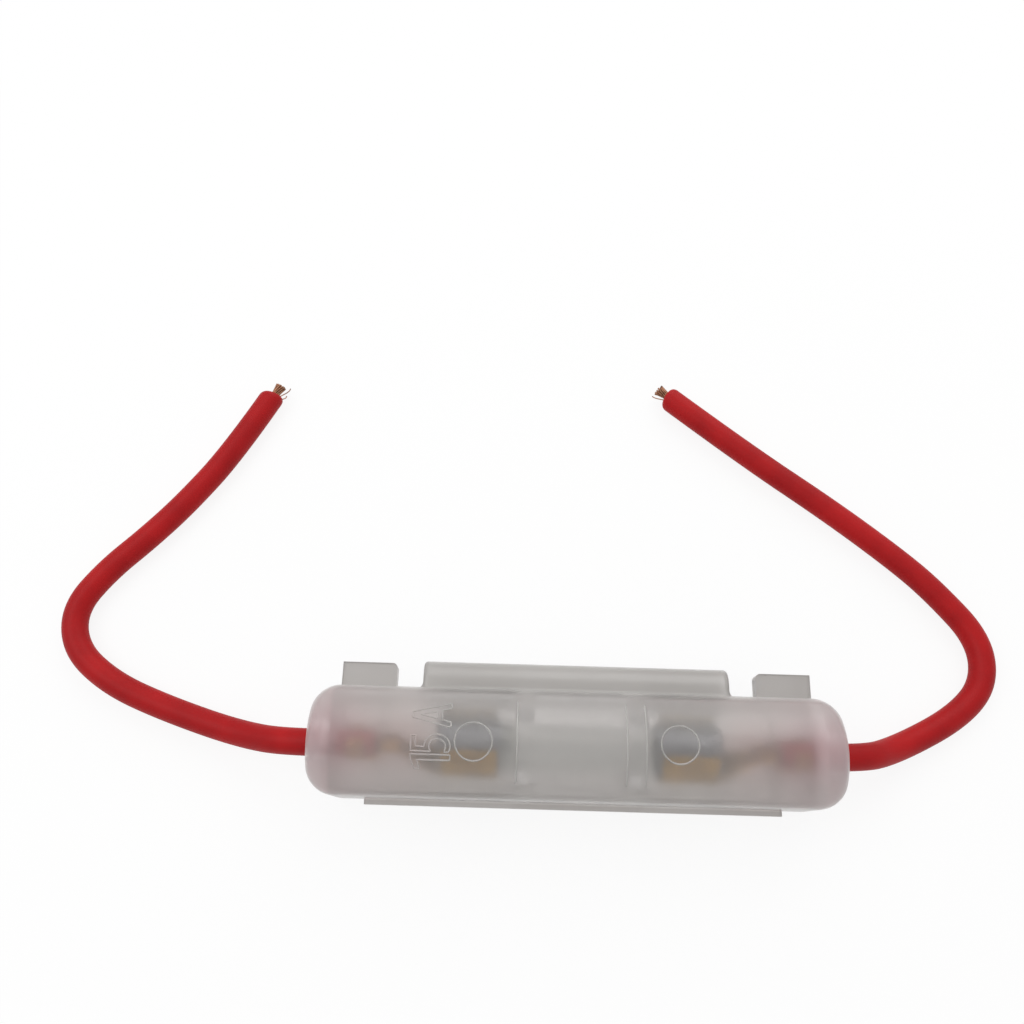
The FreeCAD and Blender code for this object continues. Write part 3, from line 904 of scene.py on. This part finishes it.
@dataclass
class Lead:
    """One lead: red insulation on its route, and the copper strands that run through it.

    The route lies over the middle of the table's X and of the lid's Y. The insulation is bored
    at both ends for the strands. They are laid in rings, drawn together at the cut and flared
    past it, each cut a little shorter or longer than the next.
    """

    side: Side
    route_mm: list[Spot]
    axis_y_mm: float
    length_mm: float
    hairs: tuple[Hair, ...]
    seed: int
    radius_mm: float = 1.55
    bore_mm: float = 0.66
    bore_depth_mm: float = 1.4
    step_mm: float = 0.5
    cord_step_mm: float = 0.6
    sides: int = 36
    tip_round_mm: float = 0.75
    tip_clear_mm: float = 0.9
    tip_shrink_mm: float = 0.6
    tip_steps: int = 8
    cut_slope: float = 0.2
    cut_reach_mm: float = 3.4
    cut_turn_degrees: float = 180.0
    curve_steps: int = 24
    curve_order: int = 3
    strand_radius_mm: float = 0.12
    strand_rings: tuple[tuple[int, float], ...] = ((1, 0.0), (6, 0.27), (12, 0.54))
    strand_sides: int = 7
    strand_step_mm: float = 0.8
    lay_mm: float = 15.0
    pinch_share: float = 0.28
    pinch_mm: float = 2.0
    inner_end_mm: float = 3.05
    bare_mm: float = 1.5
    bare_spread_mm: float = 0.16
    bare_steps: int = 6
    bundle_aside_mm: float = -0.15
    flare_least_mm: float = 0.014
    flare_most_mm: float = 0.07
    sway_mm: float = 0.03

    def centreline(self) -> list[Vector]:
        """Reads the route's smooth line from its spline.

        Returns:
            Points of the line, housing end first, in metres.
        """
        curve = bpy.data.curves.new("guide", "CURVE")
        curve.dimensions = "3D"
        curve.resolution_u = self.curve_steps
        spline = curve.splines.new("NURBS")
        spline.points.add(len(self.route_mm) - 1)
        for point, (x, y, z) in zip(spline.points, self.route_mm):
            point.co = (*mm(x, y + self.axis_y_mm, z), 1.0)
        spline.order_u = self.curve_order
        spline.use_endpoint_u = True
        guide = bpy.data.objects.new("guide", curve)
        bpy.context.scene.collection.objects.link(guide)
        bpy.context.view_layer.update()
        mesh = bpy.data.meshes.new_from_object(guide)
        line = [vertex.co.copy() for vertex in mesh.vertices]
        bpy.data.objects.remove(guide)
        bpy.data.curves.remove(curve)
        bpy.data.meshes.remove(mesh)
        return line

    @staticmethod
    def spaced(line: list[Vector], step: float) -> list[Vector]:
        """Spaces points evenly along a line.

        Args:
            line: points of the line, in metres.
            step: wanted spacing, in metres.

        Returns:
            Points at an even spacing close to the step, with both ends of the line.
        """
        lengths = lengths_along(line)
        count = max(2, round(lengths[-1] / step) + 1)
        points = []
        place = 0
        for number in range(count):
            wanted = lengths[-1] * number / (count - 1)
            while place < len(line) - 2 and lengths[place + 1] < wanted:
                place += 1
            share = (wanted - lengths[place]) / (lengths[place + 1] - lengths[place])
            points.append(line[place].lerp(line[place + 1], share))
        return points

    def leaned(self, frame: Frame, ahead: Vector, share: float) -> Frame:
        """Leans a cross frame towards the slant of the cut.

        Args:
            frame: the frame square to the lead.
            ahead: direction of the lead at its tip.
            share: share of the cut's slant.

        Returns:
            The leaned frame.
        """
        centre, across, over = frame
        slant = self.cut_slope * share
        turn = math.radians(self.cut_turn_degrees)
        return (centre, across + ahead * (slant * math.cos(turn)),
                over + ahead * (slant * math.sin(turn)))

    def insulation(self, line: list[Vector]) -> Piece:
        """Models the insulation: a round skin, bored at both ends, rounded off at its cut.

        Args:
            line: the lead's smooth line.

        Returns:
            The insulation's piece.
        """
        path = self.spaced(line, self.step_mm * MM)
        start, tip = path[0], path[-1]
        inwards = (path[1] - start).normalized()
        ahead = (tip - path[-2]).normalized()
        round_length = self.tip_round_mm * MM
        path = [point for point in path if (tip - point).length > self.tip_clear_mm * MM]
        radii = [self.radius_mm * MM] * len(path)
        for number in range(self.tip_steps + 1):
            turn = math.pi / 2 * number / self.tip_steps
            path.append(tip - ahead * (round_length * (1 - math.sin(turn))))
            radii.append((self.radius_mm - self.tip_shrink_mm * (1 - math.cos(turn))) * MM)
        reach = self.cut_reach_mm * MM
        frames = [self.leaned(frame, ahead, max(0.0, 1 - (tip - frame[0]).length / reach))
                  for frame in frames_along(path)]
        first, last = frames[0], frames[-1]
        depth = self.bore_depth_mm * MM
        deep_start = (start + inwards * depth, *first[1:])
        deep_tip = (tip - ahead * depth, *last[1:])
        bore = self.bore_mm * MM
        tubes = Tubes()
        tubes.add([deep_start, first, *frames, last, deep_tip],
                  [bore, bore, *radii, bore, bore], self.sides)
        return make_mesh(f"lead_{self.side.word}", tubes.points, tubes.faces, PVC)

    def stations(self, line: list[Vector]) -> list[tuple[Frame, float]]:
        """Sets frames along the strands, from inside the crimp to the longest bare end.

        Args:
            line: the lead's smooth line.

        Returns:
            Each frame and its distance past the cut, in millimetres.
        """
        path = self.spaced(line, self.strand_step_mm * MM)
        ahead = (path[-1] - path[-2]).normalized()
        inner = path[0] + (path[0] - path[1]).normalized() * self.inner_end_mm * MM
        longest = self.bare_mm + self.bare_spread_mm
        beyond = [path[-1] + ahead * (longest * number / self.bare_steps * MM)
                  for number in range(1, self.bare_steps + 1)]
        whole = [inner, *path, *beyond]
        lengths = lengths_along(whole)
        cut = lengths[len(path)]
        return [(frame, (length - cut) / MM)
                for frame, length in zip(frames_along(whole), lengths)]

    def strand(self, stations: list[tuple[Frame, float]], phase: float, ring_mm: float,
               dice: random.Random) -> list[Vector]:
        """Lays one strand: a helix inside the insulation, pinched at the cut, flared past it.

        Args:
            stations: frames along the strands, with their distance past the cut.
            phase: where the strand lies in its ring at the cut, in radians.
            ring_mm: radius of its ring, in millimetres.
            dice: random source, drawn from three times.

        Returns:
            The strand's path.
        """
        flare = dice.uniform(self.flare_least_mm, self.flare_most_mm)
        sway = dice.uniform(-self.sway_mm, self.sway_mm)
        cut_short = dice.uniform(0.0, 2 * self.bare_spread_mm)
        bare = self.bare_mm + self.bare_spread_mm
        shrink = (bare - cut_short) / bare
        points = []
        for (centre, across, over), past in stations:
            near = max(0.0, 1 - abs(past) / self.pinch_mm)
            aside = self.bundle_aside_mm * min(1.0, max(0.0, 1 + past / self.pinch_mm))
            out = max(0.0, past) * shrink
            turn = phase + math.tau * past / self.lay_mm
            spread = ring_mm * (1 - self.pinch_share * near)
            if ring_mm:
                spread += flare * out * out
            ahead = across.cross(over)
            points.append(centre - ahead * ((max(0.0, past) - out) * MM)
                          + (across * math.cos(turn) + over * math.sin(turn)) * (spread * MM)
                          + across * ((aside + sway * out * out) * MM))
        return points

    def hair(self, cut: Frame, hair: Hair) -> list[Vector]:
        """Lays one sprung strand, which leaves sideways and turns along the lead.

        Args:
            cut: frame at the cut.
            hair: the strand's sizes.

        Returns:
            The strand's path.
        """
        centre, across, over = cut
        ahead = across.cross(over)
        points = []
        for number in range(hair.steps + 1):
            share = number / hair.steps
            turn = math.radians(hair.curl_degrees) * share
            forward = hair.reach_mm * share - hair.buried_mm * (1 - share)
            aside = hair.root_mm + (hair.aside_mm - hair.root_mm) * math.sin(turn)
            lift = hair.lift_mm * math.sin(2 * turn)
            points.append(centre + (ahead * forward + across * aside + over * lift) * MM)
        return points

    def strands(self, line: list[Vector]) -> Piece:
        """Models the copper strands, laid in rings, and the few that have sprung out.

        Args:
            line: the lead's smooth line.

        Returns:
            The strands' piece.
        """
        dice = random.Random(self.seed)
        stations = self.stations(line)
        cut = min(stations, key=lambda station: abs(station[1]))[0]
        tubes = Tubes()
        for count, ring_mm in self.strand_rings:
            for number in range(count):
                path = self.strand(stations, math.tau * number / count, ring_mm, dice)
                tubes.add(frames_along(path), [self.strand_radius_mm * MM] * len(path),
                          self.strand_sides)
        for hair in self.hairs:
            path = self.hair(cut, hair)
            tubes.add(frames_along(path), [hair.radius_mm * MM] * len(path), self.strand_sides)
        return make_mesh(f"strands_{self.side.word}", tubes.points, tubes.faces, COPPER)

    def build(self) -> list[Piece]:
        """Returns:
            Both pieces.
        """
        line = self.centreline()
        skin = settle(self.insulation(line), Body.BASE)
        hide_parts(f"insulation_{self.side.word}")
        core = settle(self.strands(line), Body.BASE)
        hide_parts(f"conductor_{self.side.word}")
        return [skin, core]


@dataclass
class LidSurface:
    """Outer face of the lid, in metres: one arc across, straight along."""

    centre_y: float
    half_width: float
    crown: float
    rise_mm: float = 3.2

    def height(self, y: float) -> float:
        """Works out how high the face is.

        Args:
            y: place across the lid, in metres.

        Returns:
            The height there, in metres.
        """
        rise = self.rise_mm * MM
        radius = (self.half_width ** 2 + rise ** 2) / (2 * rise)
        away = y - self.centre_y
        return self.crown - radius + math.sqrt(radius ** 2 - away ** 2)

    def point(self, x: float, y: float) -> Vector:
        """The point of the face over (x, y)."""
        return Vector((x, y, self.height(y)))


@dataclass(frozen=True)
class Bow:
    """A round stretch of an outline: part of an upright ellipse."""

    centre: Corner
    radii: Corner
    start_degrees: float
    end_degrees: float
    step_degrees: float = 7.5

    def points(self) -> list[Corner]:
        """Sets points along the bow.

        Returns:
            The points, with both ends of the bow.
        """
        sweep = self.end_degrees - self.start_degrees
        count = math.ceil(abs(sweep) / self.step_degrees)
        turns = [math.radians(self.start_degrees + sweep * i / count) for i in range(count + 1)]
        return [(self.centre[0] + self.radii[0] * math.cos(turn),
                 self.centre[1] + self.radii[1] * math.sin(turn)) for turn in turns]


class Glyph(Enum):
    """The rating's characters: width and loops of corners and bows, in millimetres."""

    ONE = (1.75, (((1.0, 0.0), (1.55, 0.0), (1.55, 4.2), (1.15, 4.2), (0.1, 3.75), (0.1, 3.2),
                   (1.0, 3.5)),))
    FIVE = (2.65, (((0.15, 4.2), (1.75, 4.2), (1.75, 3.72), (0.65, 3.72),
                    Bow((0.66, 1.39), (1.24, 1.39), 94.0, -118.0), (0.05, 0.62),
                    Bow((0.66, 1.38), (0.76, 0.89), -95.0, 128.0), (0.1, 2.02)),))
    LETTER_A = (2.7, (((0.0, 0.0), (0.58, 0.0), (0.84, 1.0), (1.86, 1.0), (2.12, 0.0), (2.7, 0.0),
                       (1.65, 4.2), (1.05, 4.2)),
                      ((0.96, 1.5), (1.74, 1.5), (1.35, 3.3))))


@dataclass
class LidMarks:
    """Fine relief on the lid's face: rating, ejector rings and the lines over the cradle ribs."""

    surface: LidSurface
    bead_mm: float = 0.1
    sink_mm: float = 0.02
    step_mm: float = 0.22
    sides: int = 8
    ring_radius_mm: float = 2.02
    ring_step_degrees: float = 5.625
    ring_places_mm: tuple[Corner, ...] = ((-11.3, -0.2), (10.82, 0.07))
    line_places_mm: tuple[float, ...] = (-6.62, 5.17, 7.24)
    line_half_mm: float = 4.3
    text_right_mm: float = -13.75
    text_bottom_mm: float = -3.25

    def trace(self, corners: list[Corner], closed: bool) -> list[Vector]:
        """Lays a line onto the lid's face.

        Args:
            corners: corners of the line, in millimetres from the middle of the lid.
            closed: True if the line ends where it starts.

        Returns:
            Points of the line, sunk a little into the face, in metres.
        """
        ends = corners + corners[:1] if closed else corners
        points = []
        for (x0, y0), (x1, y1) in zip(ends, ends[1:]):
            steps = max(1, math.ceil(math.hypot(x1 - x0, y1 - y0) / self.step_mm))
            for number in range(steps):
                share = number / steps
                points.append((x0 + (x1 - x0) * share, y0 + (y1 - y0) * share))
        if not closed:
            points.append(ends[-1])
        drop = self.sink_mm * MM
        return [self.surface.point(x * MM, y * MM + self.surface.centre_y) - Vector((0, 0, drop))
                for x, y in points]

    def bead(self, name: str, lines: list[list[Corner]], closed: bool = True) -> Piece:
        """Raises a bead along lines, as one piece on the lid.

        Args:
            name: name of the piece.
            lines: corners of each line, in millimetres from the middle of the lid.
            closed: True if each line ends where it starts.

        Returns:
            The piece.
        """
        tubes = Tubes()
        for line in lines:
            path = self.trace(line, closed)
            tubes.add(frames_along(path, closed), [self.bead_mm * MM] * len(path), self.sides,
                      closed)
        piece = make_mesh(name, tubes.points, tubes.faces, RELIEF)
        return settle(piece, Body.LID)

    def rating(self) -> Piece:
        """Writes the rating across the lid, with the foot of its characters to the fuse.

        Returns:
            The rating's piece.
        """
        loops = []
        reach = self.text_bottom_mm
        for glyph in (Glyph.ONE, Glyph.FIVE, Glyph.LETTER_A):
            width, outlines = glyph.value
            for outline in outlines:
                corners = [corner for part in outline
                           for corner in (part.points() if isinstance(part, Bow) else [part])]
                loops.append([(self.text_right_mm - up, reach + along) for along, up in corners])
            reach += width
        return self.bead("rating_15A", loops)

    def build(self) -> list[Piece]:
        """Adds every mark.

        Returns:
            The pieces of the marks.
        """
        pieces = []
        radii = (self.ring_radius_mm, self.ring_radius_mm)
        for side, centre in zip(Side, self.ring_places_mm):
            ring = Bow(centre, radii, 0.0, 360.0, self.ring_step_degrees).points()[:-1]
            pieces.append(self.bead(f"ejector_ring_{side.word}", [ring]))
        for number, x in enumerate(self.line_places_mm, start=1):
            line = [(x, -self.line_half_mm), (x, self.line_half_mm)]
            pieces.append(self.bead(f"rib_line_{number}", [line], closed=False))
        pieces.append(self.rating())
        return pieces


@dataclass
class LivingHinge:
    """The thin strip that loops out from the base and back to the lid; places in metres."""

    wall_y: float
    tip_y: float
    low: float
    high: float
    half_length: float
    thick_mm: float = 0.5
    fold_thick_mm: float = 0.34
    corner_mm: float = 1.0
    flare_reach_mm: float = 0.7
    flare_rise_mm: float = 0.35
    root_reach_mm: float = 0.35
    root_rise_mm: float = 0.21
    fold_power: int = 6
    stations: int = 60
    leg_steps: int = 8
    fold_steps: int = 24

    def spine(self) -> list[LoopPoint]:
        """Sets the loop's middle line.

        Returns:
            Its points, base first.
        """
        thick = self.thick_mm * MM
        radius = (self.high - self.low) / 2 - thick / 2
        middle = (self.high + self.low) / 2
        bend = self.tip_y - thick / 2 - radius
        line = []
        for number in range(self.leg_steps):
            share = number / self.leg_steps
            line.append((self.wall_y + (bend - self.wall_y) * share, middle - radius, 0.0, -1.0))
        for number in range(self.fold_steps + 1):
            turn = math.pi * (number / self.fold_steps - 0.5)
            y, z = math.cos(turn), math.sin(turn)
            line.append((bend + radius * y, middle + radius * z, y, z))
        for number in range(1, self.leg_steps + 1):
            share = number / self.leg_steps
            line.append((bend + (self.wall_y - bend) * share, middle + radius, 0.0, 1.0))
        return line

    def end(self, y: float) -> float:
        """Works out where the strip ends, with its round corners and flared roots.

        Args:
            y: place across the holder, in metres.

        Returns:
            Half of the strip's length there, in metres.
        """
        corner = self.corner_mm * MM
        over = y - (self.tip_y - corner)
        half = self.half_length
        if over > 0:
            half -= corner - math.sqrt(max(0.0, corner ** 2 - min(over, corner) ** 2))
        near = max(0.0, 1 - (y - self.wall_y) / (self.flare_reach_mm * MM))
        return half + self.flare_rise_mm * MM * near * near

    def half_thickness(self, share: float, y: float) -> float:
        """Works out how thick the strip is, thinned at its fold and swollen at its roots.

        Args:
            share: place along the loop, from nought at the base to one at the lid.
            y: place across the holder, in metres.

        Returns:
            Half of the thickness, in metres.
        """
        fold = math.sin(math.pi * share) ** self.fold_power
        thick = self.thick_mm + (self.fold_thick_mm - self.thick_mm) * fold
        near = max(0.0, 1 - (y - self.wall_y) / (self.root_reach_mm * MM))
        return (thick / 2 + self.root_rise_mm * near * near) * MM

    def skin(self, line: list[LoopPoint]) -> list[Vector]:
        """Sets the strip's points: at each station out over its outer face and back inside.

        Args:
            line: the loop's middle line.

        Returns:
            The points, in metres.
        """
        outer = []
        inner = []
        for number, (y, z, out_y, out_z) in enumerate(line):
            half = self.half_thickness(number / (len(line) - 1), y)
            outer.append((self.end(y), y + out_y * half, z + out_z * half))
            inner.append((self.end(y), y - out_y * half, z - out_z * half))
        points = []
        for station in range(self.stations + 1):
            along = -1 + 2 * station / self.stations
            points.extend(Vector((along * end, y, z)) for end, y, z in (*outer, *reversed(inner)))
        return points

    def faces(self, count: int) -> list[tuple[int, ...]]:
        """Joins the strip's points.

        Args:
            count: number of points in the loop's middle line.

        Returns:
            The point numbers of each face.
        """
        ring = count * 2
        faces = []
        for station in range(self.stations):
            here, there = station * ring, (station + 1) * ring
            for number in range(ring):
                after = (number + 1) % ring
                faces.append((here + number, here + after, there + after, there + number))
        last = self.stations * ring
        for number in range(count - 1):
            cap = (number, ring - 1 - number, ring - 2 - number, number + 1)
            faces.append(cap)
            faces.append(tuple(last + index for index in reversed(cap)))
        return faces

    def build(self) -> Piece:
        """Makes the strip in place of the frame's web.

        Returns:
            The strip.
        """
        line = self.spine()
        web = make_mesh("living_hinge", self.skin(line), self.faces(len(line)), WEB)
        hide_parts("hinge_web")
        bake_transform(web)
        return web


@dataclass
class Housing:
    """The two moulded halves of the clamshell, from the frame."""

    nodes: dict[str, Piece]

    def build(self) -> list[Piece]:
        """Dresses both halves and adds the lid's marks and the hinge.

        Returns:
            The pieces of the housing.
        """
        pieces = [dress(self.nodes[name], POLYPROPYLENE)
                  for name in ("housing_base", "housing_lid")]
        low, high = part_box("housing_lid")
        surface = LidSurface((low.y + high.y) / 2, (high.y - low.y) / 2, high.z)
        pieces.extend(LidMarks(surface).build())
        low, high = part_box("hinge_web")
        hinge = LivingHinge(low.y, high.y, low.z, high.z, (high.x - low.x) / 2)
        pieces.append(hinge.build())
        return pieces


@dataclass
class FuseLink:
    """The glass fuse and the two terminals that grip it, from the frame."""

    nodes: dict[str, Piece]

    def build(self) -> list[Piece]:
        """Dresses the fuse and both terminals.

        Returns:
            The dressed pieces.
        """
        pieces = [dress(self.nodes["fuse_glass"], GLASS), dress(self.nodes["fuse_element"], ZINC)]
        for side in Side:
            pieces.append(dress(self.nodes[f"fuse_cap_{side.word}"], NICKEL))
            pieces.append(dress(self.nodes[f"terminal_{side.word}"], BRASS))
        return pieces


def dress(node: Piece, finish: Finish) -> Piece:
    """Gives a node of the frame its finish in every material slot.

    Args:
        node: the node.
        finish: its finish.

    Returns:
        The same node.
    """
    for slot in node.material_slots:
        slot.material = finish.material()
    if not node.material_slots:
        node.data.materials.append(finish.material())
    return node


def leads() -> list[Lead]:
    """Sets out both leads, with the routes as they lie on the table.

    Returns:
        The left lead and the right one.
    """
    low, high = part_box("housing_lid")
    axis_y = (low.y + high.y) / 2 / MM
    left = Lead(
        Side.LEFT,
        [
            (-22.55, 0.0, 6.0), (-32.0, -0.3, 6.0), (-39.3, 0.9, 2.3), (-49.0, 3.9, 1.6),
            (-55.6, 6.6, 1.6), (-60.5, 10.5, 1.6), (-61.5, 15.6, 1.6), (-58.1, 20.6, 1.6),
            (-53.9, 24.8, 1.6), (-49.7, 29.6, 1.6), (-44.5, 36.9, 1.6), (-40.15, 45.3, 1.6),
        ],
        axis_y_mm=axis_y, length_mm=82.7, seed=7,
        hairs=(Hair(root_mm=-0.45, aside_mm=-1.5, reach_mm=1.9),
               Hair(root_mm=-0.7, aside_mm=-1.7, reach_mm=0.7, lift_mm=0.1)),
    )
    right = Lead(
        Side.RIGHT,
        [
            (23.35, 0.0, 6.0), (32.3, -0.3, 6.0), (38.4, 1.4, 2.2), (46.3, 5.5, 1.6),
            (50.1, 9.7, 1.6), (50.0, 15.1, 1.6), (45.5, 20.6, 1.6), (41.6, 24.4, 1.6),
            (33.2, 31.1, 1.6), (22.4, 38.8, 1.6), (12.4, 46.7, 1.6),
        ],
        axis_y_mm=axis_y, length_mm=85.6, seed=11, cut_turn_degrees=90.0,
        hairs=(Hair(root_mm=0.4, aside_mm=1.2, reach_mm=1.6),),
    )
    return [left, right]


def main() -> None:
    """Loads the frame, dresses it, adds the soft and fine pieces and sets the studio."""
    logging.basicConfig(level=logging.INFO, format="%(name)s: %(message)s")
    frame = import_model()
    Studio().build()
    for assembly in (*leads(), Housing(frame["nodes"]), FuseLink(frame["nodes"])):
        for piece in assembly.build():
            LOG.info("%s is in place", piece.name)


if __name__ == "__main__":
    main()
